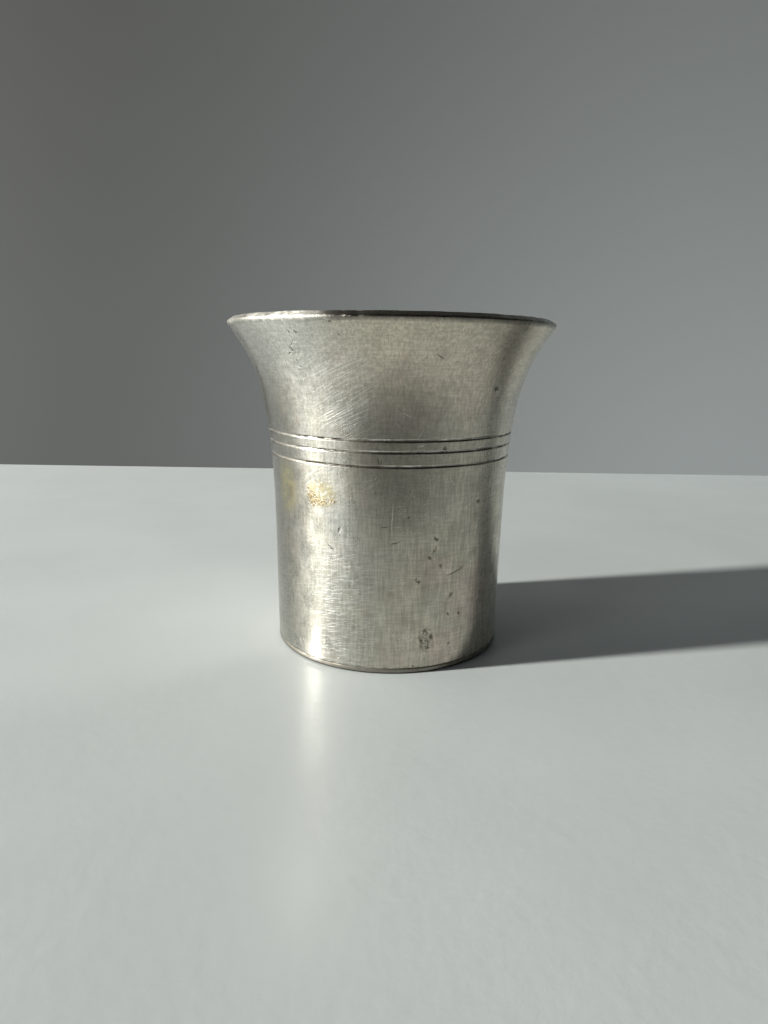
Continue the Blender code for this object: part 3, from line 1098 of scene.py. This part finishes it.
def metal_colour(g, rosy, painted_dark_reflection):
    """The metal under its marks: yellower to the right and tarnished in many ways, with painted light that
    makes it lighter to the right and paler on the flare, and painted shade where it mirrors dark surroundings
    and low on the left.
    """
    flared = g.times(g.ramp(g.z, 58.0, 70.0), g.outside)
    least, most = g.ramp(g.x, -12.0, 8.0, 0.0, 0.65), g.ramp(g.x, -22.0, 8.0, 0.35, 1.0)
    yellower = g.ramp(g.clouds, 0.38, 0.62, least, most)
    colour = g.blend(yellower, GREY_PEWTER, KHAKI_PEWTER)
    # Painted light: the outside lightened from just left of the middle towards the right
    colour = g.blend(g.times(g.ramp(g.x, -18.0, -4.0), g.outside, 0.42), colour, LIT_SIDE_KHAKI)
    colour = g.blend(g.times(rosy, 0.85), colour, ROSY_PEWTER)
    # Painted reflection: the flare made tan where it mirrors the lit floor, and pale on its left as a painted
    # highlight
    colour = g.blend(g.times(flared, g.ramp(g.x, -20.0, 0.0), 0.75), colour, MIRRORED_FLOOR_TAN)
    colour = g.blend(g.times(flared, g.ramp(g.x, -8.0, -24.0)), colour, PALE_SHEEN)
    colour = g.blend(g.ramp(g.blotches, 0.50, 0.75, 0.0, 0.22), colour, TARNISH_AND_SHADE)
    colour = g.blend(g.ramp(g.upright, 0.37, 0.63, 0.0, 0.34), colour, TARNISH_AND_SHADE)
    colour = g.blend(g.ramp(g.level, 0.38, 0.64, 0.0, 0.22), colour, TARNISH_AND_SHADE)
    # Painted shade: the dark reflections on the front and the left side
    colour = g.blend(g.times(painted_dark_reflection, 0.56), colour, TARNISH_AND_SHADE)
    # Painted shade: the bright highlight dimmed low on the left
    painted_shade_low_left = g.times(g.ramp(g.z, 20.0, 5.0), g.ramp(g.x, -8.0, -14.0), g.outside, 0.30)
    colour = g.blend(painted_shade_low_left, colour, TARNISH_AND_SHADE)
    return g.blend(g.times(g.inside, g.ramp(g.blotches, 0.35, 0.65, 0.25, 0.65)), colour, TARNISH_AND_SHADE)


def wall_material():
    """Old satin pewter: its metal, the marks of use, the dirt, and the stains that the photograph shows."""
    # Besides real marks, the colour holds painted highlights, reflections and shade
    g = WallGraph("worn satin pewter")
    rosy, rubbed, polished, painted_dark_reflection = wall_patches(g)
    rubbing = g.times(rubbed, line_sets(g, g.sheet, RUBBED_LINES))
    sparkle = g.times(polished, line_sets(g, g.sheet, POLISHED_LINES))
    stray = g.times(g.outside, line_sets(g, g.sheet, STRAY_LINES))
    bright = single_scratches(g, BRIGHT_SCRATCHES)
    single = single_scratches(g, DARK_SCRATCHES)
    pits, pitted = pits_and_specks(g)
    groove_grime_and_shade, lit_cut, wear_and_sheen_edge = groove_marks(g)
    seam, under_lip = seam_dirt_and_lip_band(g)
    lacquer, film, crust = old_stains(g)
    rim_shade_and_tarnish = lip_shade_and_tarnish(g)

    colour = metal_colour(g, rosy, painted_dark_reflection)
    scratched = g.times(deepest(g, [rubbing, sparkle, g.times(stray, 0.7), bright]), 0.42)
    colour = g.blend(scratched, colour, FRESH_SCRATCH)
    colour = g.blend(film, colour, OLIVE_FILM)
    colour = g.blend(g.times(lacquer, 0.90), colour, OLD_LACQUER)
    colour = g.blend(g.times(crust, 0.85), colour, LACQUER_CRUST)
    # A thin dark band just under the lip, stronger on the left
    colour = g.blend(g.times(under_lip, 0.75), colour, TARNISH_AND_SHADE)
    # Partly wear, partly a painted reflection of the floor on the grooves' upper edges
    colour = g.blend(wear_and_sheen_edge, colour, FRESH_SCRATCH)
    # Painted highlight: the lip's left made pale where the key light catches it
    lit_lip = g.times(g.lip, g.ramp(g.x, -9.0, -17.0))
    colour = g.blend(g.times(lit_lip, 0.4), colour, PALE_SHEEN)
    # Painted shade on the lip's front right, and tarnish at its back
    colour = g.blend(g.times(g.lip, rim_shade_and_tarnish), colour, RIM_TARNISH_AND_SHADE)
    dirt_and_shade = deepest(g, [
        g.times(single, 0.6),
        g.times(pits, 0.66),
        g.times(pitted, 0.42),
        groove_grime_and_shade,
        g.times(seam, 0.4),
    ])
    # The dark of dirt, pits and scratches, with painted shade in the grooves
    colour = g.blend(dirt_and_shade, colour, GRIME_AND_SHADE)
    g.feed(g.shader.inputs["Base Color"], colour)
    g.shader.inputs["Metallic"].default_value = 1.0
    g.shader.inputs["Anisotropic"].default_value = TURNED_GRAIN
    g.shader.inputs["Anisotropic Rotation"].default_value = ROUND_THE_CUP

    roughness = g.add(
        g.ramp(g.blotches, 0.3, 0.7, WALL_ROUGHNESS - 0.04, WALL_ROUGHNESS + 0.06),
        g.ramp(g.grit, 0.3, 0.7, -0.03, 0.03),
        g.times(g.inside, 0.12),
        g.times(lit_lip, g.ramp(g.blotches, 0.35, 0.65, 0.18, 0.31)),
        g.times(pitted, 0.2),
        g.times(groove_grime_and_shade, 0.3),
        g.times(lit_cut, 0.26),
        g.times(lacquer, 0.10),
    )
    g.feed(g.shader.inputs["Roughness"], roughness)

    surface = g.add(
        g.times(g.upright, UPRIGHT_RELIEF),
        g.times(g.level, LEVEL_RELIEF),
        g.times(g.grit, GRIT_RELIEF),
        g.times(g.blotches, BLOTCH_RELIEF),
        g.times(rubbing, RUBBED_RELIEF),
        g.times(sparkle, POLISHED_RELIEF),
        g.times(stray, STRAY_RELIEF),
        g.times(single, DARK_SCRATCH_RELIEF),
        g.times(bright, BRIGHT_SCRATCH_RELIEF),
        g.times(pits, PIT_RELIEF),
        g.times(pitted, PITTED_RELIEF),
        g.times(lacquer, LACQUER_RELIEF),
        g.times(crust, CRUST_RELIEF),
        g.times(g.lip, g.noise(g.where, 1.6, 4.0, 0.65), LIP_RELIEF),
    )
    g.feed(g.shader.inputs["Normal"], g.bump(surface, MM))
    return g.material


def disc_material():
    """The disc is seen as a thin edge outside, a dull floor inside, and a worn ring underneath."""
    g = Graph("dull base pewter")
    where, x, y, z = g.place()
    out = g.math("SQRT", g.add(g.times(x, x), g.times(y, y)))
    rings = g.noise(g.vector(g.times(out, 2.6), z, 0.0), 1.0, 3.0)
    clouds = g.noise(where, 0.10, 4.0, 0.6)
    blotches = g.noise(where, 0.35, 5.0, 0.6)
    grit = g.noise(where, 1.4, 3.0)
    rubbed = g.times(g.ramp(z, 0.10, 0.02), g.ramp(out, 23.0, 24.0))
    chamfer = g.times(g.ramp(out, 28.2, 28.5), g.ramp(z, 0.50, 0.30))
    scuffs = line_sets(g, g.vector(x, y, 0.0), SCUFF_LINES)
    on_edge = g.times(g.ramp(out, 28.2, 28.6), g.ramp(z, 1.5, 1.1))
    seam = g.times(on_edge, g.ramp(z, 1.02, 1.22), g.ramp(g.noise(where, 0.7, 3.0), 0.34, 0.50))
    corner = g.times(g.ramp(out, 24.6, 26.4), g.ramp(z, 1.6, 2.2))

    colour = g.blend(g.ramp(clouds, 0.38, 0.62), GREY_PEWTER, KHAKI_PEWTER)
    colour = g.blend(g.ramp(blotches, 0.45, 0.65, 0.10, 0.50), colour, TARNISH_AND_SHADE)
    colour = g.blend(g.ramp(rings, 0.52, 0.68, 0.0, 0.35), colour, TARNISH_AND_SHADE)
    colour = g.blend(g.times(scuffs, 0.45), colour, BARE_EDGE)
    colour = g.blend(g.times(rubbed, 0.5), colour, BARE_EDGE)
    # Painted shade: the flange's edge darkened where it catches light
    colour = g.blend(g.times(on_edge, 0.75), colour, TARNISH_AND_SHADE)
    # Seam dirt, a darker inside corner, and the chamfer darkened as painted contact shade and dirt
    dirt_and_shade = deepest(g, [g.times(seam, 0.5), g.times(corner, 0.5), g.times(chamfer, 0.85)])
    colour = g.blend(dirt_and_shade, colour, GRIME_AND_SHADE)
    g.feed(g.shader.inputs["Base Color"], colour)
    g.shader.inputs["Metallic"].default_value = 1.0
    roughness = g.add(g.ramp(blotches, 0.3, 0.7, 0.40, 0.54), g.times(rubbed, -0.10), g.times(seam, 0.2))
    g.feed(g.shader.inputs["Roughness"], roughness)
    surface = g.add(
        g.times(rings, RING_RELIEF),
        g.times(grit, DISC_GRIT_RELIEF),
        g.times(blotches, DISC_BLOTCH_RELIEF),
        g.times(scuffs, SCUFF_RELIEF),
    )
    g.feed(g.shader.inputs["Normal"], g.bump(surface, MM))
    return g.material


def solder_material():
    """Dull solder with brown remains of flux."""
    g = Graph("dull soft solder")
    where = g.place()[0]
    clouds = g.noise(where, 0.35, 4.0, 0.6)
    grit = g.noise(where, 2.2, 4.0)
    flux = g.ramp(g.noise(where, 0.55, 3.0), 0.54, 0.66)
    colour = g.blend(g.ramp(clouds, 0.35, 0.65), SOLDER_DARK, SOLDER_LIGHT)
    colour = g.blend(g.times(flux, 0.7), colour, FLUX)
    g.feed(g.shader.inputs["Base Color"], colour)
    g.shader.inputs["Metallic"].default_value = 1.0
    roughness = g.add(g.ramp(clouds, 0.3, 0.7, 0.42, 0.56), g.times(flux, 0.15))
    g.feed(g.shader.inputs["Roughness"], roughness)
    surface = g.add(g.times(grit, SOLDER_GRIT_RELIEF), g.times(clouds, SOLDER_CLOUD_RELIEF))
    g.feed(g.shader.inputs["Normal"], g.bump(surface, MM))
    return g.material


build_stage()
build_wall(wall_material())
build_disc(disc_material())
build_solder(solder_material())
